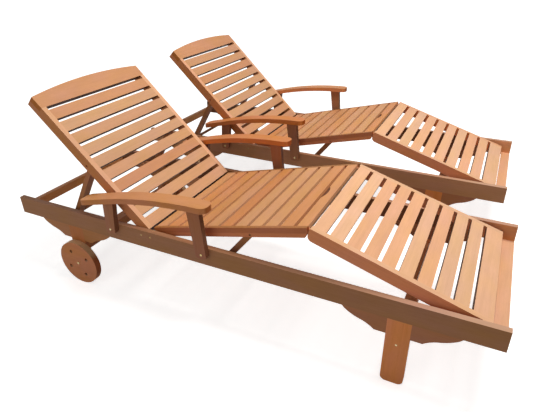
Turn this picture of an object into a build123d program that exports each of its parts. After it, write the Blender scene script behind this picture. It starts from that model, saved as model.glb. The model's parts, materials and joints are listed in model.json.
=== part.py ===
from build123d import *
from math import asin, atan2, cos, degrees, hypot, radians, sin
import os

# A pair of matching wooden sun loungers that stand side by side.
# One lounger is modelled with x = 0 at the head end of its rails, y = 0 on its centre line
# and z = 0 on the ground. Its feet end points to +X, and its right side is at -Y.

# Driving dimensions of the pair, in millimetres
lounger_pitch = 972
lounger_stagger = 52

# Driving dimensions of one frame, whose length follows the seat and the leg rest
frame_width = 650
foot_spare = 6
rail_height = 76
rail_thickness = 22
ground_clearance = 272
head_bar_thickness = 22
foot_bar_width = 43
foot_bar_thickness = 12

# Legs, their stretchers and the scalloped aprons
leg_width = 78
leg_thickness = 22
leg_foot_rounding = 20
wheel_leg_x = 312
foot_leg_inset = 308
wheel_leg_drop = 210
stretcher_width = 44
stretcher_height = 42
stretcher_z = 171
apron_length = 381
apron_depth = 63
apron_flat = 156
apron_waist_run = 52
apron_waist_rise = 27
apron_waist_sag = 3.5
apron_cheek_run = 51
apron_cheek_rise = 26
apron_cheek_bulge = 2.5
lap_depth = 11

# Wheels
wheel_radius = 102
wheel_thickness = 27
wheel_gap = 1.5
wheel_hole_radius = 9
wheel_hole_circle = 60
wheel_hole_count = 4
wheel_hole_side_count = 6
wheel_hole_turn = 30
axle_radius = 6
axle_tip = 2

# Armrests and their splayed posts
arm_rear_x = 427
arm_length = 593
arm_top_z = 541
arm_rise = 94
arm_straight_share = 0.25
arm_straight_rise_share = 0.405
arm_width = 64
arm_overhang = 48
arm_thickness = 22
arm_front_rounding = 27
arm_rear_rounding = 22
post_thickness = 22
rear_post_foot_inset = 114
rear_post_lean = 20
rear_post_foot_width = 43
rear_post_top_width = 57
front_post_foot_inset = 50
front_post_lean = 23
front_post_foot_width = 44
front_post_top_width = 56
post_foot_z = 312
post_foot_rounding = 12

# Backrest, hinged on the rails near their middle
back_pivot_x = 677
back_pivot_z = 326
back_pivot_depth = 29
back_angle = 44.2
back_length = 674.5
back_heel = 3
back_side_gap = 3
stile_thickness = 22
back_stile_depth = 45
back_stile_rounding = 18
back_slat_width = 46.5
back_slat_gap = 15.3
crest_width = 56.5
back_slat_thickness = 18
crest_arch = 23
crest_thickness = 22

# Seat, hinged on the rails just behind the backrest
seat_pivot_x = 720
seat_pivot_z = 325
seat_pivot_depth = 24
seat_angle = 14.04
seat_length = 662
seat_heel = 1
seat_side_gap = 17
seat_rail_thickness = 15
seat_rail_depth = 37
seat_slat_width = 47.7
seat_slat_gap = 14
seat_slat_margin = 4
seat_last_slat_width = 41
seat_slat_thickness = 12
seat_bevel_rise = 20
seat_bevel_run = 14
grip_width = 100
grip_depth = 12

# Leg rest, hinged on the seat at the knee
knee_gap = 1
knee_pivot_run = 1.15
knee_pivot_depth = 20.6
knuckle_half_height = 8
knuckle_chamfer = 5
knuckle_thickness = 6
knuckle_root = 25
knuckle_clearance = 2
knee_pin_radius = 3
leg_rest_length = 612
leg_stile_depth = 46
leg_stile_rounding = 20
leg_slat_width = 46.6
leg_slat_gap = 14
leg_slat_margin = 4
leg_last_slat_width = 62.6
leg_slat_thickness = 16

# Pegs of the leg rest and their grooves in the rails
peg_inset = 57
peg_depth = 26
peg_radius = 5
groove_z = 318
groove_clearance = 1
groove_depth = 10
groove_head_spare = 32
groove_foot_spare = 14

# Props under the backrest and the seat, and the notched racks that hold them
back_prop_run = 342
back_prop_length = 301.5
back_prop_side_gap = 2
back_prop_width = 36
back_prop_thickness = 20
back_prop_end_chamfer = 7
knee_prop_run = 435.4
knee_prop_depth = 28
knee_prop_length = 155.3
knee_prop_side_gap = 9
knee_prop_width = 20
knee_prop_thickness = 24
knee_prop_end_chamfer = 7
prop_rod_radius = 8
prop_rod_side_count = 8
prop_pin_radius = 5
prop_pin_grip = 12
prop_end_gap = 0.5
rack_thickness = 20
rack_seat_z = 306
rack_notch_clearance = 0.4
rack_lead = 5
rack_end_margin = 30
back_rack_pitch = 50
back_rack_low_count = 3
back_rack_high_count = 1
knee_rack_pitch = 30.5
knee_rack_low_count = 1
knee_rack_high_count = 1

# Hinge pins and fits. Pins that lie hidden in their bores have ten flat sides
pin_radius = 4
pin_side_count = 10
pin_tip_cover = 2
pin_block_size = 24
pin_block_play = 0.2
pin_clearance = 0.1
snug_clearance = 0.05
rest_gap = 0.5
cut_overrun = 5

# Lengths that follow the panels, with the leg rest lying flat behind the seat
frame_length = seat_pivot_x - seat_heel + seat_length + knee_gap + leg_rest_length + foot_spare
foot_leg_x = frame_length - foot_leg_inset

# Slats: the steps between them fill each panel exactly
back_slat_steps = round((back_length - crest_width) / (back_slat_width + back_slat_gap))
back_slat_pitch = (back_length - crest_width) / back_slat_steps
seat_slat_run = seat_length - seat_slat_margin - seat_last_slat_width
seat_slat_steps = round(seat_slat_run / (seat_slat_width + seat_slat_gap))
seat_slat_pitch = seat_slat_run / seat_slat_steps
leg_slat_run = leg_rest_length - leg_slat_margin - leg_last_slat_width
leg_slat_steps = round(leg_slat_run / (leg_slat_width + leg_slat_gap))
leg_slat_pitch = leg_slat_run / leg_slat_steps

# Half widths, measured from the centre line of a lounger
rail_outer = frame_width / 2
rail_inner = rail_outer - rail_thickness
back_stile_outer = rail_inner - back_side_gap
back_stile_inner = back_stile_outer - stile_thickness
seat_rail_outer = rail_inner - seat_side_gap
seat_rail_inner = seat_rail_outer - seat_rail_thickness
leg_stile_outer = seat_rail_outer
leg_stile_inner = leg_stile_outer - stile_thickness
rack_inner = rail_inner - rack_thickness
back_prop_outer = back_stile_inner - back_prop_side_gap
back_prop_inner = back_prop_outer - back_prop_width
knee_prop_outer = seat_rail_inner - knee_prop_side_gap
knee_prop_inner = knee_prop_outer - knee_prop_width
post_outer = rail_outer + post_thickness
arm_outer = rail_outer + arm_overhang
arm_inner = arm_outer - arm_width
wheel_inner = rail_outer + wheel_gap
wheel_outer = wheel_inner + wheel_thickness

# Heights of the fixed frame
rail_bottom = ground_clearance
rail_top = rail_bottom + rail_height
back_bar_top = back_pivot_z + back_pivot_depth - back_stile_depth - rest_gap
knee_bar_top = seat_pivot_z + seat_pivot_depth - seat_rail_depth - rest_gap
lap_z = rail_bottom - apron_depth


def turned(run, rise, angle):
    """Where a point beside a hinge goes when its panel is lifted by an angle."""
    turn = radians(angle)
    return run * cos(turn) - rise * sin(turn), run * sin(turn) + rise * cos(turn)


# The knee hinge and the leg rest's slope, which its pegs settle in their level grooves
knee_run = seat_length - seat_heel + knee_pivot_run
knee_rise = seat_pivot_depth - knee_pivot_depth
knee_shift = turned(knee_run, knee_rise, seat_angle)
knee_x = seat_pivot_x + knee_shift[0]
knee_z = seat_pivot_z + knee_shift[1]
leg_rest_start = knee_gap - knee_pivot_run
peg_x = leg_rest_start + leg_rest_length - peg_inset
peg_z = knee_pivot_depth - peg_depth
peg_reach = hypot(peg_x, peg_z)
leg_rest_angle = degrees(asin((knee_z - groove_z) / peg_reach) + atan2(peg_z, peg_x))
flat_knee_x = seat_pivot_x + knee_run
peg_rest_x = knee_x + peg_x * cos(radians(leg_rest_angle)) + peg_z * sin(radians(leg_rest_angle))

# The props' top pivots and slopes, which the racks' seats settle
back_prop_x = back_pivot_x - back_prop_run * cos(radians(back_angle))
back_prop_z = back_pivot_z + back_prop_run * sin(radians(back_angle))
back_prop_angle = degrees(asin((back_prop_z - rack_seat_z) / back_prop_length))
back_foot_x = back_prop_x - back_prop_length * cos(radians(back_prop_angle))
knee_prop_rise = seat_pivot_depth - knee_prop_depth
knee_prop_shift = turned(knee_prop_run, knee_prop_rise, seat_angle)
knee_prop_x = seat_pivot_x + knee_prop_shift[0]
knee_prop_z = seat_pivot_z + knee_prop_shift[1]
knee_prop_angle = degrees(asin((knee_prop_z - rack_seat_z) / knee_prop_length))
knee_foot_x = knee_prop_x - knee_prop_length * cos(radians(knee_prop_angle))


def board(x0, x1, y0, y1, z0, z1):
    """A plain board between two opposite corners."""
    block = Box(x1 - x0, y1 - y0, z1 - z0, align=(Align.MIN, Align.MIN, Align.MIN))
    return Pos(x0, y0, z0) * block


def upright(face, inner, outer):
    """A side piece of the right side, from an outline drawn in x and z."""
    return Pos(0, -inner, 0) * Rot(90, 0, 0) * extrude(face, amount=outer - inner)


def side_bore(radius, inner, outer, x, z):
    """A round bore or pin across the right side."""
    return upright(Pos(x, z) * Circle(radius), inner, outer)


def side_pin(radius, inner, outer, x, z):
    """A hidden hinge pin across the right side."""
    return upright(Pos(x, z) * RegularPolygon(radius, pin_side_count), inner, outer)


def both_sides(piece):
    return [piece, mirror(piece, about=Plane.XZ)]


def hinged(pieces, x, z, turn):
    """Turn pieces that are drawn about their own pivot, and set them on that pivot."""
    return [Pos(x, 0, z) * Rot(0, turn, 0) * piece for piece in pieces]


def slat(start, width, half_span, thickness, top):
    """A slat between the side pieces of a panel."""
    return board(start, start + width, -half_span, half_span, top - thickness, top)


# Fixed frame: rails, bars, legs, aprons and stretchers

def side_rail():
    """A side rail with the level groove that guides a peg of the leg rest."""
    rail = board(0, frame_length, -rail_outer, -rail_inner, rail_bottom, rail_top)
    half_height = peg_radius + groove_clearance
    head = peg_rest_x - groove_head_spare
    foot = flat_knee_x + peg_x + groove_foot_spare
    return rail - board(head, foot, -rail_inner - groove_depth, -rail_inner,
                        groove_z - half_height, groove_z + half_height)


def leg(x, bottom):
    """A leg with rounded foot corners, whose upper end is lapped over its apron."""
    height = rail_bottom - bottom
    outline = Pos(x, bottom + height / 2) * Rectangle(leg_width, height)
    outline = fillet(outline.vertices().group_by(Axis.Y)[0], leg_foot_rounding)
    plank = upright(outline, rail_outer - leg_thickness, rail_outer)
    return plank - lap_block(x, rail_outer - leg_thickness, rail_outer - lap_depth)


def lap_block(x, inner, outer):
    """The stretch where a leg crosses its apron, between two depths."""
    half = leg_width / 2
    return board(x - half, x + half, -outer, -inner, lap_z, rail_bottom)


def apron(x):
    """A scalloped board under the rail, let in behind the upper end of its leg."""
    low = (apron_flat / 2, -apron_depth)
    waist = (low[0] + apron_waist_run, low[1] + apron_waist_rise)
    cheek = (waist[0] + apron_cheek_run, waist[1] + apron_cheek_rise)
    tip = (apron_length / 2, 0)
    swoop = [
        bowed(low, waist, apron_waist_sag),
        bowed(waist, cheek, -apron_cheek_bulge),
        Line(cheek, tip),
    ]
    twins = [mirror(edge, about=Plane.YZ) for edge in swoop]
    level = Line((-low[0], low[1]), low)
    top = Line((-tip[0], 0), tip)
    outline = Pos(x, rail_bottom) * make_face([*swoop, *twins, level, top])
    plank = upright(outline, rail_outer - leg_thickness, rail_outer)
    return plank - lap_block(x, rail_outer - lap_depth, rail_outer)


def bowed(start, end, rise):
    """An arc between two points, bowed upwards by a rise at its middle."""
    middle = ((start[0] + end[0]) / 2, (start[1] + end[1]) / 2)
    span = hypot(end[0] - start[0], end[1] - start[1])
    lean = ((start[1] - end[1]) / span, (end[0] - start[0]) / span)
    return ThreePointArc(start, (middle[0] + lean[0] * rise, middle[1] + lean[1] * rise), end)


def stretcher(x):
    """A bar between the two legs of a pair."""
    half = stretcher_width / 2
    low = stretcher_z - stretcher_height / 2
    return board(x - half, x + half, -rail_inner, rail_inner, low, low + stretcher_height)


def frame_pins():
    """Pins of one side: the backrest's, the seat's on its spacer block, and the stub axle."""
    back_tip = back_stile_inner + pin_tip_cover
    seat_tip = seat_rail_inner + pin_tip_cover
    block_inner = seat_rail_outer + pin_block_play
    block = Pos(seat_pivot_x, seat_pivot_z) * Rectangle(pin_block_size, pin_block_size)
    return [
        side_pin(pin_radius, back_tip, rail_inner, back_pivot_x, back_pivot_z),
        upright(block, block_inner, rail_inner),
        side_pin(pin_radius, seat_tip, block_inner, seat_pivot_x, seat_pivot_z),
        side_pin(axle_radius, rail_outer, wheel_outer + axle_tip, wheel_leg_x, wheel_radius),
    ]


def notched_rack(seat_x, pitch, low_count, high_count, top):
    """A rack with flat-bottomed notches for a prop's foot rod, eased on one side."""
    first = seat_x - pitch * low_count
    last = seat_x + pitch * high_count
    rack = board(first - rack_end_margin, last + rack_end_margin, -rail_inner, -rack_inner,
                 rail_bottom, top)
    half = prop_rod_radius + rack_notch_clearance
    bottom = rack_seat_z - half
    for step in range(low_count + high_count + 1):
        x = first + pitch * step
        notch = Polygon((x - half, bottom), (x + half, bottom), (x + half + rack_lead, top),
                        (x - half, top), align=None)
        rack -= upright(notch, rack_inner, rail_inner)
    return rack


# Armrests

def arm_curve(top_z):
    """The armrest's long line: straight from the rear tip, then bent over to level."""
    rear = (arm_rear_x, top_z - arm_rise)
    bend = (arm_rear_x + arm_length * arm_straight_share,
            top_z - arm_rise * (1 - arm_straight_rise_share))
    straight = Line(rear, bend)
    bow = TangentArc(bend, (arm_rear_x + arm_length, top_z), tangent=straight % 1)
    return [straight, bow]


def armrest():
    """A board that climbs from its rear tip and bends over to level at the front."""
    top = arm_curve(arm_top_z)
    bottom = arm_curve(arm_top_z - arm_thickness)
    ends = [Line(top[0] @ 0, bottom[0] @ 0), Line(top[1] @ 1, bottom[1] @ 1)]
    plank = upright(make_face([*top, *bottom, *ends]), arm_inner, arm_outer)
    upright_edges = plank.edges().filter_by(Axis.Z).group_by(Axis.X)
    plank = fillet(upright_edges[-1], arm_front_rounding)
    upright_edges = plank.edges().filter_by(Axis.Z).group_by(Axis.X)
    return fillet(upright_edges[0], arm_rear_rounding)


def arm_post(foot_x, foot_width, top_x, top_width):
    """A splayed post on the rail's outer face, cut to the underside of the armrest."""
    foot = foot_width / 2
    head = top_width / 2
    outline = Polygon((foot_x - foot, post_foot_z), (foot_x + foot, post_foot_z),
                      (top_x + head, arm_top_z), (top_x - head, arm_top_z), align=None)
    outline = fillet(outline.vertices().group_by(Axis.Y)[0], post_foot_rounding)
    underside = arm_curve(arm_top_z - arm_thickness)
    rear = underside[0] @ 0
    front = underside[1] @ 1
    walls = Polyline((rear.X, rear.Y), (rear.X, post_foot_z), (front.X, post_foot_z), (front.X, front.Y))
    below_arm = make_face([*underside, walls])
    return upright(outline & below_arm, rail_outer, post_outer)


def arm_posts():
    rear = arm_rear_x + rear_post_foot_inset
    front = arm_rear_x + arm_length - front_post_foot_inset
    return [
        arm_post(rear, rear_post_foot_width, rear + rear_post_lean, rear_post_top_width),
        arm_post(front, front_post_foot_width, front - front_post_lean, front_post_top_width),
    ]


# Wheels

def wheel():
    """A wooden disc with four holes and a bore for its stub axle."""
    disc = Circle(wheel_radius) - Circle(axle_radius + pin_clearance)
    holes = PolarLocations(wheel_hole_circle, wheel_hole_count, wheel_hole_turn)
    disc -= holes * RegularPolygon(wheel_hole_radius, wheel_hole_side_count)
    return upright(Pos(wheel_leg_x, wheel_radius) * disc, wheel_inner, wheel_outer)


# Backrest, drawn lying flat about its pivot with its head end towards -X

def crest_rail():
    """The top rail of the backrest, arched along its upper edge and lapped over the stiles."""
    lower = back_heel - back_slat_steps * back_slat_pitch
    upper = back_heel - back_length
    arch = ThreePointArc((upper, -back_stile_outer), (upper - crest_arch, 0), (upper, back_stile_outer))
    frame = Polyline((upper, back_stile_outer), (lower, back_stile_outer),
                     (lower, -back_stile_outer), (upper, -back_stile_outer))
    outline = make_face([arch, frame])
    return Pos(0, 0, back_pivot_depth - crest_thickness) * extrude(outline, amount=crest_thickness)


def back_slats():
    slats = []
    for index in range(back_slat_steps):
        start = back_heel - back_slat_width - index * back_slat_pitch
        slats.append(slat(start, back_slat_width, back_stile_inner, back_slat_thickness, back_pivot_depth))
    return slats


def back_stile():
    """A side piece of the backrest, with its lap under the crest rail and its two bores."""
    tip = back_heel - back_length
    low = back_pivot_depth - back_stile_depth
    outline = Pos((tip + back_heel) / 2, (low + back_pivot_depth) / 2) * Rectangle(
        back_heel - tip, back_stile_depth)
    outline = fillet(outline.vertices().group_by(Axis.Y)[0].sort_by(Axis.X)[-1], back_stile_rounding)
    stile = upright(outline, back_stile_inner, back_stile_outer)
    stile -= side_bore(pin_radius + pin_clearance, back_stile_inner, back_stile_outer, 0, 0)
    stile -= side_bore(prop_pin_radius + pin_clearance, back_stile_inner, back_stile_outer,
                       -back_prop_run, 0)
    return stile - crest_rail()


# Seat, drawn level about its pivot with the knee towards +X

def seat_slats():
    """Slats of the seat. The last one ends flush at the knee and has a finger grip."""
    slats = []
    for index in range(seat_slat_steps + 1):
        left = seat_slat_margin - seat_heel + index * seat_slat_pitch
        width = seat_last_slat_width if index == seat_slat_steps else seat_slat_width
        slats.append(slat(left, width, seat_rail_inner, seat_slat_thickness, seat_pivot_depth))
    radius = (grip_width ** 2 / 4 + grip_depth ** 2) / (2 * grip_depth)
    grip = Cylinder(radius, seat_slat_thickness, align=(Align.CENTER, Align.CENTER, Align.MAX))
    slats[-1] -= Pos(left + grip_depth - radius, 0, seat_pivot_depth) * grip
    return slats


def knuckle(start, end, z, inner, outer):
    """A tongue with a bevelled end round the knee pin, from its root to just past the pin."""
    reach = knuckle_half_height if end > start else -knuckle_half_height
    tip = end + reach
    shape = Pos((start + tip) / 2, z) * Rectangle(abs(tip - start), 2 * knuckle_half_height)
    corners = shape.vertices().group_by(Axis.X)[-1 if end > start else 0]
    return upright(chamfer(corners, knuckle_chamfer), inner, outer)


def seat_rail():
    """A side rail of the seat, bevelled under the knee, with a tongue for the knee pin."""
    start = -seat_heel
    end = seat_length - seat_heel
    low = seat_pivot_depth - seat_rail_depth
    outline = Polygon((start, seat_pivot_depth), (start, low), (end - seat_bevel_run, low),
                      (end, low + seat_bevel_rise), (end, seat_pivot_depth), align=None)
    rail = upright(outline, seat_rail_inner, seat_rail_outer)
    rail += knuckle(end - knuckle_root, knee_run, knee_rise, seat_rail_inner,
                    seat_rail_inner + knuckle_thickness)
    rail -= side_bore(pin_radius + pin_clearance, seat_rail_inner, seat_rail_outer, 0, 0)
    rail -= side_bore(knee_pin_radius + pin_clearance, seat_rail_inner, seat_rail_outer,
                      knee_run, knee_rise)
    rail -= side_bore(prop_pin_radius + pin_clearance, seat_rail_inner, seat_rail_outer,
                      knee_prop_run, knee_prop_rise)
    return rail


# Leg rest, drawn level about the knee pin with its foot end towards +X

def leg_slats():
    """Slats of the leg rest. The last one is wider and ends flush with the stiles."""
    slats = []
    for index in range(leg_slat_steps + 1):
        left = leg_rest_start + leg_slat_margin + index * leg_slat_pitch
        width = leg_last_slat_width if index == leg_slat_steps else leg_slat_width
        slats.append(slat(left, width, leg_stile_inner, leg_slat_thickness, knee_pivot_depth))
    return slats


def leg_stile():
    """A side piece of the leg rest, rounded below, with its tongue and the knuckle's room."""
    start = leg_rest_start
    end = start + leg_rest_length
    low = knee_pivot_depth - leg_stile_depth
    outline = Pos((start + end) / 2, (low + knee_pivot_depth) / 2) * Rectangle(
        leg_rest_length, leg_stile_depth)
    outline = fillet(outline.vertices().group_by(Axis.Y)[0], leg_stile_rounding)
    stile = upright(outline, leg_stile_inner, leg_stile_outer)
    tongue_outer = seat_rail_inner - rest_gap
    stile += knuckle(start + knuckle_root, 0, 0, leg_stile_inner, tongue_outer)
    room = knuckle_half_height + knuckle_clearance
    room_outer = seat_rail_inner + knuckle_thickness + rest_gap
    return stile - board(-room, room, -room_outer, -tongue_outer, low - cut_overrun, room)


def leg_rest_pins():
    """The knee pin and the groove peg of one side."""
    tongue_outer = seat_rail_inner - rest_gap
    knee_pin = side_pin(knee_pin_radius, tongue_outer, seat_rail_inner + knuckle_thickness, 0, 0)
    peg_end = rail_inner + groove_depth - groove_clearance
    peg = side_pin(peg_radius, leg_stile_outer, peg_end, peg_x, peg_z)
    return [knee_pin, peg]


# Props, drawn along +X from their top pivots

def prop(length, thickness, end_chamfer, inner, outer, pin_outer):
    """Two arms with bevelled ends, the rod through their feet and the pivot pins at their tops."""
    half = thickness / 2
    blank = Pos(length / 2, 0) * Rectangle(length + thickness, thickness)
    arm = upright(chamfer(blank.vertices(), end_chamfer), inner, outer)
    flat_up = 180 / prop_rod_side_count
    rod_shape = Rot(0, 0, flat_up) * RegularPolygon(prop_rod_radius, prop_rod_side_count)
    hole_shape = Rot(0, 0, flat_up) * RegularPolygon(prop_rod_radius + snug_clearance, prop_rod_side_count)
    arm -= upright(Pos(length, 0) * hole_shape, inner, outer)
    rod_end = rack_inner - prop_end_gap
    rod = upright(Pos(length, 0) * rod_shape, -rod_end, rod_end)
    pin = side_pin(prop_pin_radius, outer, pin_outer, 0, 0)
    return both_sides(arm) + [rod] + both_sides(pin)


def lounger():
    """All sub-parts of one lounger, each a list of solids."""
    rail = both_sides(side_rail())
    head_bar = board(0, head_bar_thickness, -rail_inner, rail_inner, rail_bottom, back_bar_top)
    foot_bar = board(frame_length - foot_bar_width, frame_length, -rail_inner, rail_inner,
                     rail_bottom, rail_bottom + foot_bar_thickness)
    posts = arm_posts()
    frame_pieces = [piece for one in frame_pins() for piece in both_sides(one)]
    back_rack = notched_rack(back_foot_x, back_rack_pitch, back_rack_low_count,
                             back_rack_high_count, back_bar_top)
    knee_rack = notched_rack(knee_foot_x, knee_rack_pitch, knee_rack_low_count,
                             knee_rack_high_count, knee_bar_top)
    back_arms = prop(back_prop_length, back_prop_thickness, back_prop_end_chamfer,
                     back_prop_inner, back_prop_outer, back_stile_inner + prop_pin_grip)
    knee_arms = prop(knee_prop_length, knee_prop_thickness, knee_prop_end_chamfer,
                     knee_prop_inner, knee_prop_outer, seat_rail_inner + prop_pin_grip)
    pins = [piece for one in leg_rest_pins() for piece in both_sides(one)]
    back_at = (back_pivot_x, back_pivot_z, back_angle)
    seat_at = (seat_pivot_x, seat_pivot_z, -seat_angle)
    knee_at = (knee_x, knee_z, leg_rest_angle)
    return {
        "side_rail_right": [rail[0]],
        "side_rail_left": [rail[1]],
        "head_bar": [head_bar],
        "foot_bar": [foot_bar],
        "head_aprons": both_sides(apron(wheel_leg_x)),
        "foot_aprons": both_sides(apron(foot_leg_x)),
        "wheel_legs": both_sides(leg(wheel_leg_x, rail_bottom - wheel_leg_drop)),
        "foot_legs": both_sides(leg(foot_leg_x, 0)),
        "leg_stretchers": [stretcher(wheel_leg_x), stretcher(foot_leg_x)],
        "back_racks": both_sides(back_rack),
        "knee_racks": both_sides(knee_rack),
        "arm_right": both_sides(armrest())[:1],
        "arm_left": both_sides(armrest())[1:],
        "arm_posts_right": posts,
        "arm_posts_left": [both_sides(post)[1] for post in posts],
        "frame_bolts": frame_pieces,
        "wheel_right": both_sides(wheel())[:1],
        "wheel_left": both_sides(wheel())[1:],
        "crest_rail": hinged([crest_rail()], *back_at),
        "backrest_stiles": hinged(both_sides(back_stile()), *back_at),
        "backrest_slats": hinged(back_slats(), *back_at),
        "back_prop": hinged(back_arms, back_prop_x, back_prop_z, 180 - back_prop_angle),
        "seat_rails": hinged(both_sides(seat_rail()), *seat_at),
        "seat_slats": hinged(seat_slats(), *seat_at),
        "leg_rest_stiles": hinged(both_sides(leg_stile()), *knee_at),
        "leg_rest_slats": hinged(leg_slats(), *knee_at),
        "leg_rest_pins": hinged(pins, *knee_at),
        "knee_prop": hinged(knee_arms, knee_prop_x, knee_prop_z, 180 - knee_prop_angle),
    }


# The pair, centred on the ground, one file for each sub-part
os.makedirs("parts", exist_ok=True)
pieces = lounger()
for letter, side in (("a", -1), ("b", 1)):
    place = Pos(-frame_length / 2 - side * lounger_stagger / 2, side * lounger_pitch / 2, 0)
    for name, solids in pieces.items():
        flat_list = [solid for piece in solids for solid in (place * piece).solids()]
        node = flat_list[0] if len(flat_list) == 1 else Compound(flat_list)
        export_step(node, f"parts/lounger_{letter}_{name}.step")

print("leg rest slope", round(leg_rest_angle, 2))
print("back prop slope", round(back_prop_angle, 2), "foot at", round(back_foot_x, 1))
print("knee prop slope", round(knee_prop_angle, 2), "foot at", round(knee_foot_x, 1))
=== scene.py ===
import json
from math import cos, pi, radians, sin

import bpy
from mathutils import Matrix, Vector


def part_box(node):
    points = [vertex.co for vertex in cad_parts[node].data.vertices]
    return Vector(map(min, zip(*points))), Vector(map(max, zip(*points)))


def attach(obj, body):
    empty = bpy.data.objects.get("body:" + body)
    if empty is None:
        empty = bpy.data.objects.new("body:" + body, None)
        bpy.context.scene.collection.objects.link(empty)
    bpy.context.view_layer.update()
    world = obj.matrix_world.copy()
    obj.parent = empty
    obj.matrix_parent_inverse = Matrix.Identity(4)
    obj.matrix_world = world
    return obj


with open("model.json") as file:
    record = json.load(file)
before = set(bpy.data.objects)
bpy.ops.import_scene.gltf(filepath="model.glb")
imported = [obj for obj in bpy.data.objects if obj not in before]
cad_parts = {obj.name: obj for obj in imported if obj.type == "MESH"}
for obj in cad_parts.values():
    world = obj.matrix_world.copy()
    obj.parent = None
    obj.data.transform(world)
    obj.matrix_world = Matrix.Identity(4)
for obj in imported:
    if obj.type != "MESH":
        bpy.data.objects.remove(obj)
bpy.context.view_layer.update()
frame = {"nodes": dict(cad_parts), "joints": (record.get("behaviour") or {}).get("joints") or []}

LOUNGERS = ("a", "b")
X, Y, Z = Vector((1, 0, 0)), Vector((0, 1, 0)), Vector((0, 0, 1))
joints = {joint["name"]: joint for joint in frame["joints"]}
centre_line = {
    letter: sum((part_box(f"lounger_{letter}_head_bar")[end] for end in (0, 1)), Vector()).y / 2
    for letter in LOUNGERS
}

# All lengths are in metres. Where the slats of a panel lie: how far the first one starts from
# the panel's hinge, and the step from one slat to the next
BACK_SLATS = (-0.003, 0.0618)
SEAT_SLATS = (0.003, 0.0617)
LEG_SLATS = (0.00385, 0.0606)
POST_STEP = 0.75  # from the head bar: the rear posts stand within it, the front posts beyond it
ONE_EACH = 1.0  # a step longer than any piece, for one board on either side of a place

LEG_REST_SLOPE = radians(17.38)
BACK_PROP_SLOPE = radians(59.0)
KNEE_PROP_SLOPE = radians(51.0)

# The two cross boards of a lounger
BOARD_THICKNESS, BOARD_EDGE, BOARD_CLEARANCE = 0.009, 0.0015, 0.0008
KNEE_BOARD_WIDTH = 0.073
HINGE_BOARD_WIDTH, HINGE_BOARD_FRONT, HINGE_BOARD_DROP = 0.055, 0.003, 0.030

# Tones of the oiled wood: first the tone of the faces that look up, then that of all other faces.
# Each pair is partly the wood's own colour and partly painted light and shade, lighter or darker
# tops and sides
UPPER, OTHER = 0, 1
BACK = "d9a075", "c98b5c"
BACK_EDGE = "eab086", "d28752"
SEAT = "d59561", "dc9c6c"
SEAT_EDGE = "a66d3d", "c0754d"
LEG_REST = "ecb48a", "f09564"
ARM = "d08852", "d37f47"
POST = "a87048", "a86f4e"
RAIL = "c8987c", "a66e47"
# Painted light: the right side rail of the far lounger, whose other faces are lighter than the
# near lounger's, as it lies less in shade
FAR_RAIL_PAINTED_LIGHT = "c8987c", "c0825a"
# Painted light: the other faces of the left side rails, the far side of each lounger, take a
# bright tone for light bounced from the leg rest near the foot end
RAIL_INSIDE_PAINTED_LIGHT = "c8987c", "e09a68"
# Painted light: the head bar's other faces take a lightened tone, though they lie in shade
HEAD_BAR_PAINTED_LIGHT = "d09468", "eaa66c"
FOOT_BAR = "e8b086", "c88a5c"
BAR = "b87a50", "b47448"
LEG = "d08a58", "f09b5d"
WHEEL_LEG = "c08052", "c47e4c"
APRON = "bc8058", "b27854"
HEAD_APRON = "bc8058", "bc7c4a"
WHEEL = "dcb488", "d48c5e"
# Painted shade: the cross boards' upper faces are dark for the shade they lie in under the seat
# and backrest
CROSS_BOARD_SHADED_TOP = "6c4630", "a8866a"

# Painted shade: tones of the narrow faces on one side of a piece's boards, the side that lies in
# shade
SHADED_EDGES = {"crest_rail": "5a3622", "backrest_slats": "5a3622", "leg_rest_slats": "6c4a36",
         "arm_posts_right": "7c5036", "arm_posts_left": "7c5036"}

# Tones that a piece takes on along its length or height, and where they do so: painted shade on
# the side rails, and a lighter lower band on the sides of the seat rails
# Painted shade on the upper faces of the side rails, growing from the foot end to the middle and
# full from there to the head end
RAIL_SHADED = "a06c4c"
# Painted shade on the other faces of the left side rails, taking over from their painted light
# between two distances from the foot end
RAIL_INSIDE_SHADED = "80502f"
RAIL_INSIDE_SHADE_FADE = (0.10, 0.25)  # from the foot end of the rail
# The side faces of the seat rails take a lighter tone below a line at a share of their height
SEAT_EDGE_LOWER = "d8875a"
TONE_LINE_HEIGHT, TONE_LINE_BLUR = 0.44, 0.0008  # share of the seat rail's height, and half the blur

# Share of its brightness that a sawn end keeps
END_SHADE = 0.62
END_SHADES = {"crest_rail": 0.95}

BRASS = "b49f74"
FLOOR = "f6f6f5"

# Patterns in the wood: how often each repeats in a metre along a board and across it
CLOUD, BLUSH, BANDS, FIBRES, PORES = (9, 22), (6, 16), (2.2, 120), (16, 520), (42, 1150)
SOFT_NOISE = (0.25, 0.75)  # the range in which the soft patterns work
BAND_RANGE, FIBRE_RANGE, PORE_RANGE = (0.42, 0.72), (0.4, 0.75), (0.60, 0.72)
BAND_DEPTH, FIBRE_DEPTH, PORE_DEPTH = 0.11, 0.1, 0.16

# Shifts of hue, saturation and value. 0.5, 1 and 1 leave a colour as it is
BLUSH_HUE, BLUSH_SATURATION, CLOUD_VALUE = (0.494, 0.505), (0.95, 1.04), (0.95, 1.04)
BOARD_HUE, BOARD_SATURATION, BOARD_VALUE = (0.495, 0.505), (1.05, 0.95), (0.95, 1.05)
DARK_GRAIN = (0.493, 1.18, 0.55)
END_HUE, END_SATURATION = 0.495, 1.08

# How closely a face has to look up, or in another direction, to take the tone for it
LOOKS_UP, LOOKS_THERE = (0.4, 0.6), (0.75, 0.95)

WOOD_SHINE, WOOD_BUMP = 0.2, (0.0002, 0.3)
FIBRE_GLOSS, WOOD_ROUGHNESS, END_ROUGHNESS = (0.3, 0.7), (0.5, 0.62), 0.15

# Each lounger, and each kind of draw for a board, has seeds of its own
LOUNGER_SEEDS = 40
WARMTH_SEED, SHIFT_SEED, SHIFT_LENGTH = 0.37, 0.71, 9

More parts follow.
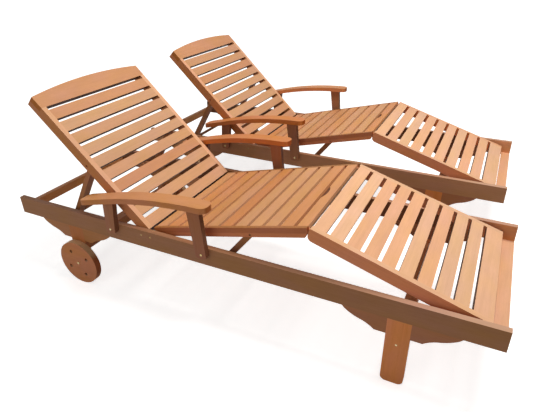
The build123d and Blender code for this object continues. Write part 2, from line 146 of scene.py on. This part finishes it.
# Tarnish and fine marks on metal
TARNISH_SCALE, MARK_SCALE, TARNISH_RANGE = 120, 2400, (0.3, 0.7)
TARNISH_SATURATION, TARNISH_VALUE, TARNISH_ROUGHNESS = (1.3, 0.7), (0.8, 1.05), 0.18
METAL_BUMP = (0.0001, 0.5)
FITTING_ROUGHNESS, BOLT_HEAD_ROUGHNESS = 0.35, 0.3

# Small heads of the bolts that show on the outer faces. A head is turned from rings: the share
# of the radius and the share of the height of each
BOLT_SIDES = 20
BOLT_RINGS = ((1.0, 0.0), (1.0, 0.35), (0.82, 0.8), (0.45, 1.0))
BOLT_DOME = 0.32  # share of the radius
POST_BOLTS, POST_BOLT_HEIGHT = (0.541, 0.970), 0.329  # from the head end, and above the floor
POST_BOLT, HINGE_BOLT, LEG_BOLT = 0.005, 0.003, 0.0042  # radii

# Floor and sky. Light that bounces meets a grey floor. The floor's own light, which only the
# camera, mirrors and glass see, grows from the object outwards
FLOOR_SPAN = 60
FLOOR_BOUNCE = (0.42, 0.42, 0.415, 1)
FLOOR_ROUGHNESS = 0.9
FLOOR_NEAR, FLOOR_FAR = 1.2, 4.0
GLOW_NEAR, GLOW_FAR = 0.71, 1.0
WHITE = (1, 1, 1, 1)
SKY_LIGHT = 0.19

# Two round lamps: place, size, power and colour
LAMPS = {
    "key": ((0.95, 0, 3.6), 1.6, 98, (1, 0.99, 0.97)),
    "fill": ((-0.6, -3.6, 1.6), 2.2, 18, (1, 0.99, 0.98)),
}
LAMP_TARGET = (0, 0, 0.3)

# The camera that was fitted to the photograph
CAMERA_PLACE = Vector((0.8594, -1.9837, 1.3029))
CAMERA_AZIMUTH = radians(25.99)
CAMERA_PITCH = radians(28.71)
CAMERA_ROLL = radians(-0.72)
CAMERA_LENS = 30.73
CAMERA_SENSOR = 36


def linear(colour):
    """A colour written as six hex digits, as the linear values that a shader takes."""
    parts = [int(colour[i:i + 2], 16) / 255 for i in (0, 2, 4)]
    return tuple(p / 12.92 if p <= 0.04045 else ((p + 0.055) / 1.055) ** 2.4 for p in parts) + (1,)


class Graph:
    """A material's nodes, with short calls for the kinds that are used here."""

    def __init__(self, name):
        self.material = bpy.data.materials.new(name)
        self.material.use_nodes = True
        self.tree = self.material.node_tree
        self.tree.nodes.clear()

    def add(self, kind, settings=None, **inputs):
        node = self.tree.nodes.new(kind)
        for name, value in (settings or {}).items():
            setattr(node, name, value)
        for name, value in inputs.items():
            self.feed(node.inputs[name.replace("_", " ")], value)
        return node

    def feed(self, socket, value):
        if isinstance(value, bpy.types.NodeSocket):
            self.tree.links.new(value, socket)
        else:
            socket.default_value = value

    def math(self, operation, *values):
        node = self.add("ShaderNodeMath", {"operation": operation})
        for socket, value in zip(node.inputs, values):
            self.feed(socket, value)
        return node.outputs[0]

    def dot(self, vector, direction):
        node = self.add("ShaderNodeVectorMath", {"operation": "DOT_PRODUCT"})
        self.feed(node.inputs[0], vector)
        self.feed(node.inputs[1], tuple(direction))
        return node.outputs["Value"]

    def vector(self, x, y, z):
        node = self.add("ShaderNodeCombineXYZ")
        for socket, value in zip(node.inputs, (x, y, z)):
            self.feed(socket, value)
        return node.outputs[0]

    def noise(self, vector, detail=2, roughness=0.5):
        node = self.add("ShaderNodeTexNoise", Vector=vector, Scale=1, Detail=detail,
                        Roughness=roughness)
        return node.outputs[0]

    def random(self, value, seed):
        node = self.add("ShaderNodeTexWhiteNoise", {"noise_dimensions": "2D"},
                        Vector=self.vector(value, seed, 0))
        return node.outputs["Value"]

    def span(self, value, low, high, to_low=0, to_high=1):
        node = self.add("ShaderNodeMapRange", Value=value, From_Min=low, From_Max=high,
                        To_Min=to_low, To_Max=to_high)
        return node.outputs[0]

    def mix(self, factor, first, second):
        node = self.add("ShaderNodeMix", {"data_type": "RGBA"})
        # The sockets of the kind RGBA are number 6 and 7, and its output is number 2
        self.feed(node.inputs[0], factor)
        self.feed(node.inputs[6], first)
        self.feed(node.inputs[7], second)
        return node.outputs[2]

    def tint(self, colour, hue, saturation, value):
        node = self.add("ShaderNodeHueSaturation", Hue=hue, Saturation=saturation, Value=value,
                        Color=colour)
        return node.outputs[0]

    def surface(self, colour, roughness, bump=None, **fixed):
        """The material's shader. bump is (height, distance, strength)."""
        shader = self.add("ShaderNodeBsdfPrincipled", Base_Color=colour, Roughness=roughness,
                          **fixed)
        if bump:
            height, distance, strength = bump
            relief = self.add("ShaderNodeBump", Height=height, Distance=distance,
                              Strength=strength)
            self.feed(shader.inputs["Normal"], relief.outputs[0])
        self.add("ShaderNodeOutputMaterial", Surface=shader.outputs[0])
        return shader


def wood(name, tones, along, across, boards, seed, changes=(), shaded_edge_tone=None, end_shade=END_SHADE):
    """Oiled wood with its grain along one direction.

    boards gives each board of the piece its own tone: (direction, start, step), or None for
    one board.
    changes turn one of the two tones into another along a direction: (UPPER or OTHER,
    direction, from, to, tone there).
    The edge tone, if given, is that of the faces that look the other way than the direction
    across: painted shade on the side of the boards that lies in shade.
    end_shade is the share of its brightness that a sawn end keeps.
    """
    graph = Graph(name)
    place = graph.add("ShaderNodeTexCoord")
    point, normal = place.outputs["Object"], place.outputs["Normal"]
    depth = along.cross(across)
    run, side, rise = (graph.dot(point, direction) for direction in (along, across, depth))
    index = 0.0
    if boards:
        direction, start, step = boards
        offset = graph.math("SUBTRACT", graph.dot(point, direction), start)
        index = graph.math("FLOOR", graph.math("DIVIDE", offset, step))
    value = graph.random(index, seed)
    warmth = graph.random(index, seed + WARMTH_SEED)
    shift = graph.math("MULTIPLY", graph.random(index, seed + SHIFT_SEED), SHIFT_LENGTH)

    def pattern(scales, **settings):
        run_scale, side_scale = scales
        stretched = graph.vector(
            graph.math("MULTIPLY_ADD", run, run_scale, shift),
            graph.math("MULTIPLY_ADD", side, side_scale, shift),
            graph.math("MULTIPLY_ADD", rise, side_scale, shift))
        return graph.noise(stretched, **settings)

    tones = [linear(tone) for tone in tones]
    for which, direction, start, end, there in changes:
        share = graph.span(graph.dot(point, direction), start, end)
        tones[which] = graph.mix(share, tones[which], linear(there))
    # Faces that look up take the first tone and all others the second: partly painted light and
    # shade
    looks_up = graph.span(graph.dot(normal, Z), *LOOKS_UP)
    tone = graph.mix(looks_up, tones[OTHER], tones[UPPER])
    # Painted shade on the faces that look the other way than the direction across
    if shaded_edge_tone:
        shaded_edge_mask = graph.span(graph.dot(normal, -across), *LOOKS_THERE)
        tone = graph.mix(shaded_edge_mask, tone, linear(shaded_edge_tone))

    # Soft clouds of colour, faint growth bands along the board, and fine fibres and pores
    cloud = pattern(CLOUD, detail=2)
    blush = pattern(BLUSH, detail=1)
    bands = pattern(BANDS, detail=2, roughness=0.6)
    fibres = pattern(FIBRES, detail=3, roughness=0.65)
    pores = graph.span(pattern(PORES, detail=1), *PORE_RANGE)

    colour = graph.tint(tone,
                        graph.span(blush, *SOFT_NOISE, *BLUSH_HUE),
                        graph.span(blush, *SOFT_NOISE, *BLUSH_SATURATION),
                        graph.span(cloud, *SOFT_NOISE, *CLOUD_VALUE))
    dark = graph.tint(tone, *DARK_GRAIN)
    colour = graph.mix(graph.span(bands, *BAND_RANGE, 0, BAND_DEPTH), colour, dark)
    colour = graph.mix(graph.span(fibres, *FIBRE_RANGE, 0, FIBRE_DEPTH), colour, dark)
    colour = graph.mix(graph.math("MULTIPLY", pores, PORE_DEPTH), colour, dark)
    colour = graph.tint(colour,
                        graph.span(warmth, 0, 1, *BOARD_HUE),
                        graph.span(warmth, 0, 1, *BOARD_SATURATION),
                        graph.span(value, 0, 1, *BOARD_VALUE))

    # Sawn ends are darker and rougher
    is_end = graph.span(graph.math("ABSOLUTE", graph.dot(normal, along)), *LOOKS_THERE)
    colour = graph.mix(is_end, colour, graph.tint(colour, END_HUE, END_SATURATION, end_shade))

    roughness = graph.math("ADD", graph.span(fibres, *FIBRE_GLOSS, *WOOD_ROUGHNESS),
                           graph.math("MULTIPLY", is_end, END_ROUGHNESS))
    height = graph.math("SUBTRACT", graph.math("MULTIPLY", fibres, 0.5), pores)
    graph.surface(colour, roughness, (height, *WOOD_BUMP), Specular_IOR_Level=WOOD_SHINE)
    return graph.material


def metal(name, tone, roughness):
    """Plated metal, a little tarnished."""
    graph = Graph(name)
    point = graph.add("ShaderNodeTexCoord").outputs["Object"]

    def scaled(scale):
        places = (graph.math("MULTIPLY", graph.dot(point, axis), scale) for axis in (X, Y, Z))
        return graph.vector(*places)

    tarnish = graph.noise(scaled(TARNISH_SCALE), detail=3)
    marks = graph.noise(scaled(MARK_SCALE), detail=2)
    colour = graph.tint(linear(tone), 0.5,
                        graph.span(tarnish, *TARNISH_RANGE, *TARNISH_SATURATION),
                        graph.span(tarnish, *TARNISH_RANGE, *TARNISH_VALUE))
    dull = graph.span(tarnish, *TARNISH_RANGE, roughness, roughness + TARNISH_ROUGHNESS)
    graph.surface(colour, dull, (marks, *METAL_BUMP), Metallic=1.0)
    return graph.material


def paint(node, material):
    """Gives a CAD node its material."""
    mesh = frame["nodes"][node].data
    mesh.materials.clear()
    mesh.materials.append(material)


def sloped(angle):
    """Along a panel that climbs towards +X by an angle."""
    return Vector((cos(angle), 0, sin(angle)))


def raised_by(joint):
    """How far a hinge has lifted its panel in the photographed pose, from lying flat."""
    return radians(-joints[joint]["range_deg"][0])


def from_hinge(joint, direction, layout):
    """The slats of a panel as boards, counted from the panel's hinge."""
    start, step = layout
    return direction, Vector(joints[joint]["pos_m"]).dot(direction) + start, step


def sides(letter):
    """The two mirrored pieces of a node as boards, one on each side of the centre line."""
    return Y, centre_line[letter], ONE_EACH


def reach(node, direction):
    """The least and the greatest place of a CAD node along a direction."""
    piece = frame["nodes"][node]
    places = [(piece.matrix_world @ vertex.co).dot(direction) for vertex in piece.data.vertices]
    return min(places), max(places)


def add_mesh(name, points, faces, material):
    """A new piece of points and faces, not yet riding on a body."""
    mesh = bpy.data.meshes.new(name)
    mesh.from_pydata(points, [], faces)
    mesh.materials.append(material)
    piece = bpy.data.objects.new(name, mesh)
    bpy.context.scene.collection.objects.link(piece)
    return piece


def board(name, body, along, across, ends, edges, top, seed):
    """A board with its long edges broken.

    ends are the places of its two ends in the direction along, edges those of its long edges
    in the direction across, and top is that of its upper face, square to both.
    """
    up = across.cross(along)
    (low, high), bottom, cut = edges, top - BOARD_THICKNESS, BOARD_EDGE
    outline = [(low + cut, top), (low, top - cut), (low, bottom + cut), (low + cut, bottom),
               (high - cut, bottom), (high, bottom + cut), (high, top - cut), (high - cut, top)]
    points = [along * end + across * run + up * rise for end in ends for run, rise in outline]
    count = len(outline)
    faces = [tuple(range(count)), tuple(reversed(range(count, 2 * count)))]
    faces += [(i, i + count, (i + 1) % count + count, (i + 1) % count) for i in range(count)]
    piece = add_mesh(name, points, faces, wood(name, CROSS_BOARD_SHADED_TOP, along, across, None, seed))
    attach(piece, body)


def cross_boards(letter, seed):
    """Two boards between the sides of a lounger.

    The knee board lies under the last slats of the seat, and the hinge board lies between the
    side rails below the hinge of the backrest.
    """
    pre = f"lounger_{letter}_"
    seat_up = sloped(raised_by(pre + "seat_hinge"))
    end = reach(pre + "seat_slats", seat_up)[1]
    under = reach(pre + "seat_slats", seat_up.cross(Y))[0]
    right, left = reach(pre + "leg_rest_slats", Y)
    board(pre + "knee_board", pre + "seat", Y, seat_up,
          (right + BOARD_CLEARANCE, left - BOARD_CLEARANCE),
          (end - KNEE_BOARD_WIDTH, end - BOARD_CLEARANCE / 2), under, seed)
    hinge = Vector(joints[pre + "backrest_hinge"]["pos_m"])
    inner = reach(pre + "side_rail_right", Y)[1], reach(pre + "side_rail_left", Y)[0]
    board(pre + "hinge_board", "frames", Y, X, inner,
          (hinge.x - HINGE_BOARD_WIDTH, hinge.x + HINGE_BOARD_FRONT),
          hinge.z - HINGE_BOARD_DROP, seed + 1)


def dress(letter, number):
    """Materials of one lounger, and its cross boards."""
    pre = f"lounger_{letter}_"
    seed = number * LOUNGER_SEEDS
    back = raised_by(pre + "backrest_hinge")
    back_up = Vector((-cos(back), 0, sin(back)))
    seat_up = sloped(raised_by(pre + "seat_hinge"))
    leg_down = sloped(-LEG_REST_SLOPE)
    two = sides(letter)
    head_and_foot = (X, 0, ONE_EACH)
    posts = (X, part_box(pre + "head_bar")[0].x, POST_STEP)
    back_boards = from_hinge(pre + "backrest_hinge", back_up, BACK_SLATS)
    seat_boards = from_hinge(pre + "seat_hinge", seat_up, SEAT_SLATS)
    leg_boards = from_hinge(pre + "knee_hinge", leg_down, LEG_SLATS)

    head, foot = reach(pre + "side_rail_right", X)
    # Painted shade on the rails' upper faces, from the foot end to the middle
    top_painted_shade = (UPPER, X, foot, (head + foot) / 2, RAIL_SHADED)
    # Painted shade on the other faces of the left rail, away from its painted-light foot end
    inside_painted_shade = (OTHER, X, *(foot - place for place in RAIL_INSIDE_SHADE_FADE), RAIL_INSIDE_SHADED)
    seat_normal = seat_up.cross(Y)
    low, high = reach(pre + "seat_rails", seat_normal)
    tone_line = low + (high - low) * TONE_LINE_HEIGHT
    changes = {
        "side_rail_right": [top_painted_shade],
        "side_rail_left": [top_painted_shade, inside_painted_shade],
        "seat_rails": [(OTHER, seat_normal, tone_line + TONE_LINE_BLUR, tone_line - TONE_LINE_BLUR, SEAT_EDGE_LOWER)],
    }
    # Node, tones, direction of the grain, direction across it, and boards
    plan = (
        ("side_rail_right", RAIL if number == 0 else FAR_RAIL_PAINTED_LIGHT, X, Z, None),
        ("side_rail_left", RAIL_INSIDE_PAINTED_LIGHT, X, Z, None),
        ("head_bar", HEAD_BAR_PAINTED_LIGHT, Y, Z, None),
        ("foot_bar", FOOT_BAR, Y, X, None),
        ("head_aprons", HEAD_APRON, X, Z, two),
        ("foot_aprons", APRON, X, Z, two),
        ("wheel_legs", WHEEL_LEG, Z, X, two),
        ("foot_legs", LEG, Z, X, two),
        ("leg_stretchers", BAR, Y, Z, head_and_foot),
        ("back_racks", BAR, X, Z, two),
        ("knee_racks", BAR, X, Z, two),
        ("arm_right", ARM, X, Y, None),
        ("arm_left", ARM, X, Y, None),
        ("arm_posts_right", POST, Z, -X, posts),
        ("arm_posts_left", POST, Z, -X, posts),
        ("wheel_right", WHEEL, X, Z, None),
        ("wheel_left", WHEEL, X, Z, None),
        ("crest_rail", BACK, Y, back_up, None),
        ("backrest_stiles", BACK_EDGE, back_up, Y, two),
        ("backrest_slats", BACK, Y, back_up, back_boards),
        ("back_prop", BAR, sloped(BACK_PROP_SLOPE), Y, two),
        ("seat_rails", SEAT_EDGE, seat_up, Y, two),
        ("seat_slats", SEAT, Y, seat_up, seat_boards),
        ("leg_rest_stiles", LEG_REST, leg_down, Y, two),
        ("leg_rest_slats", LEG_REST, Y, leg_down, leg_boards),
        ("knee_prop", BAR, sloped(KNEE_PROP_SLOPE), Y, two),
    )
    for order, (name, tones, along, across, boards) in enumerate(plan):
        paint(pre + name, wood(pre + name, tones, along, across, boards, seed + order,
                               changes.get(name, ()), SHADED_EDGES.get(name),
                               END_SHADES.get(name, END_SHADE)))
    cross_boards(letter, seed + len(plan))
    for name in ("frame_bolts", "leg_rest_pins"):
        paint(pre + name, metal(pre + name, BRASS, FITTING_ROUGHNESS))


def bolt_head(name, x, y, z, radius, outward, material):
    """A low domed bolt head on an upright face that looks towards +Y or -Y."""
    height = radius * BOLT_DOME
    points, faces = [], []
    for share, rise in BOLT_RINGS:
        for step in range(BOLT_SIDES):
            turn = 2 * pi * step / BOLT_SIDES
            points.append((x + radius * share * cos(turn), y + outward * height * rise,
                           z + radius * share * sin(turn)))
    points.append((x, y + outward * height, z))
    top = len(points) - 1
    last = top - BOLT_SIDES
    for step in range(BOLT_SIDES):
        following = (step + 1) % BOLT_SIDES
        for low in range(0, last, BOLT_SIDES):
            high = low + BOLT_SIDES
            faces.append((low + step, low + following, high + following, high + step))
        faces.append((last + step, last + following, top))
    if outward > 0:
        faces = [face[::-1] for face in faces]
    head = add_mesh(name, points, faces, material)
    head.data.polygons.foreach_set("use_smooth", [True] * len(faces))
    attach(head, "frames")


def bolt_heads(letter):
    """Bolt heads of one lounger: at the feet of the posts, at the hinges, on the foot legs."""
    pre = f"lounger_{letter}_"
    brass = metal(pre + "bolt_heads", BRASS, BOLT_HEAD_ROUGHNESS)
    hinges = [Vector(joints[pre + name]["pos_m"]) for name in ("backrest_hinge", "seat_hinge")]
    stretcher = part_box(pre + "leg_stretchers")
    foot_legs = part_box(pre + "foot_legs")
    leg_x = (foot_legs[0].x + foot_legs[1].x) / 2
    leg_z = (stretcher[0].z + stretcher[1].z) / 2
    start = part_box(pre + "side_rail_right")[0].x
    for side, end, outward in (("right", 0, -1), ("left", 1, 1)):
        rail_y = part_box(f"{pre}side_rail_{side}")[end].y
        post_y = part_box(f"{pre}arm_posts_{side}")[end].y
        spots = [(start + place, post_y, POST_BOLT_HEIGHT, POST_BOLT) for place in POST_BOLTS]
        spots += [(hinge.x, rail_y, hinge.z, HINGE_BOLT) for hinge in hinges]
        spots.append((leg_x, foot_legs[end].y, leg_z, LEG_BOLT))
        for count, (x, y, z, radius) in enumerate(spots):
            bolt_head(f"{pre}bolt_head_{side}_{count}", x, y, z, radius, outward, brass)


def seen_directly(tree):
    """1 for rays that the camera, a mirror or glass sends, and 0 for light that bounces."""
    paths = tree.nodes.new("ShaderNodeLightPath")
    names = ("Is Camera Ray", "Is Glossy Ray", "Is Transmission Ray")
    total = paths.outputs[names[0]]
    for name in names[1:]:
        either = tree.nodes.new("ShaderNodeMath")
        either.operation = "MAXIMUM"
        tree.links.new(total, either.inputs[0])
        tree.links.new(paths.outputs[name], either.inputs[1])
        total = either.outputs[0]
    return total


def floor():
    """A white floor that keeps the shadow of the object."""
    half = FLOOR_SPAN / 2
    corners = [(-half, -half, 0), (half, -half, 0), (half, half, 0), (-half, half, 0)]
    graph = Graph("floor")
    seen = seen_directly(graph.tree)
    shader = graph.surface(graph.mix(seen, FLOOR_BOUNCE, linear(FLOOR)), FLOOR_ROUGHNESS,
                           Specular_IOR_Level=0.0, Emission_Color=WHITE)
    point = graph.add("ShaderNodeTexCoord").outputs["Object"]
    squares = [graph.math("POWER", graph.dot(point, axis), 2) for axis in (X, Y)]
    distance = graph.math("POWER", graph.math("ADD", *squares), 0.5)
    glow = graph.span(distance, FLOOR_NEAR, FLOOR_FAR, GLOW_NEAR, GLOW_FAR)
    graph.feed(shader.inputs["Emission Strength"], graph.math("MULTIPLY", seen, glow))
    plane = add_mesh("floor", corners, [(0, 1, 2, 3)], graph.material)


def lamp(name, place, size, power, colour):
    """A round area lamp that shines on the middle of the object."""
    data = bpy.data.lights.new(name, "AREA")
    data.shape = "DISK"
    data.size = size
    data.energy = power
    data.color = colour
    light = bpy.data.objects.new(name, data)
    light.location = place
    light.rotation_mode = "QUATERNION"
    light.rotation_quaternion = (Vector(LAMP_TARGET) - Vector(place)).to_track_quat("-Z", "Y")
    bpy.context.scene.collection.objects.link(light)


def sky():
    """A world that looks white and lights the object with much less."""
    world = bpy.data.worlds.new("studio")
    bpy.context.scene.world = world
    world.use_nodes = True
    tree = world.node_tree
    tree.nodes.clear()
    level = tree.nodes.new("ShaderNodeMapRange")
    level.inputs["To Min"].default_value = SKY_LIGHT
    tree.links.new(seen_directly(tree), level.inputs["Value"])
    back = tree.nodes.new("ShaderNodeBackground")
    back.inputs["Color"].default_value = WHITE
    tree.links.new(level.outputs[0], back.inputs["Strength"])
    output = tree.nodes.new("ShaderNodeOutputWorld")
    tree.links.new(back.outputs[0], output.inputs["Surface"])


def camera():
    """The camera. Its azimuth, pitch and roll turn it from looking level along +Y."""
    data = bpy.data.cameras.new("camera")
    data.lens = CAMERA_LENS
    data.sensor_width = CAMERA_SENSOR
    view = bpy.data.objects.new("camera", data)
    bpy.context.scene.collection.objects.link(view)
    ahead = Vector((-sin(CAMERA_AZIMUTH) * cos(CAMERA_PITCH),
                    cos(CAMERA_AZIMUTH) * cos(CAMERA_PITCH), -sin(CAMERA_PITCH)))
    level_right = Vector((cos(CAMERA_AZIMUTH), sin(CAMERA_AZIMUTH), 0))
    level_up = level_right.cross(ahead)
    right = level_right * cos(CAMERA_ROLL) + level_up * sin(CAMERA_ROLL)
    up = level_up * cos(CAMERA_ROLL) - level_right * sin(CAMERA_ROLL)
    turn = Matrix((right, up, -ahead)).transposed()
    view.rotation_mode = "QUATERNION"
    view.rotation_quaternion = turn.to_quaternion()
    view.location = CAMERA_PLACE
    bpy.context.scene.camera = view


for number, letter in enumerate(LOUNGERS):
    dress(letter, number)
    bolt_heads(letter)
floor()
sky()
for name, settings in LAMPS.items():
    lamp(name, *settings)
camera()
bpy.context.scene.view_settings.view_transform = "Standard"
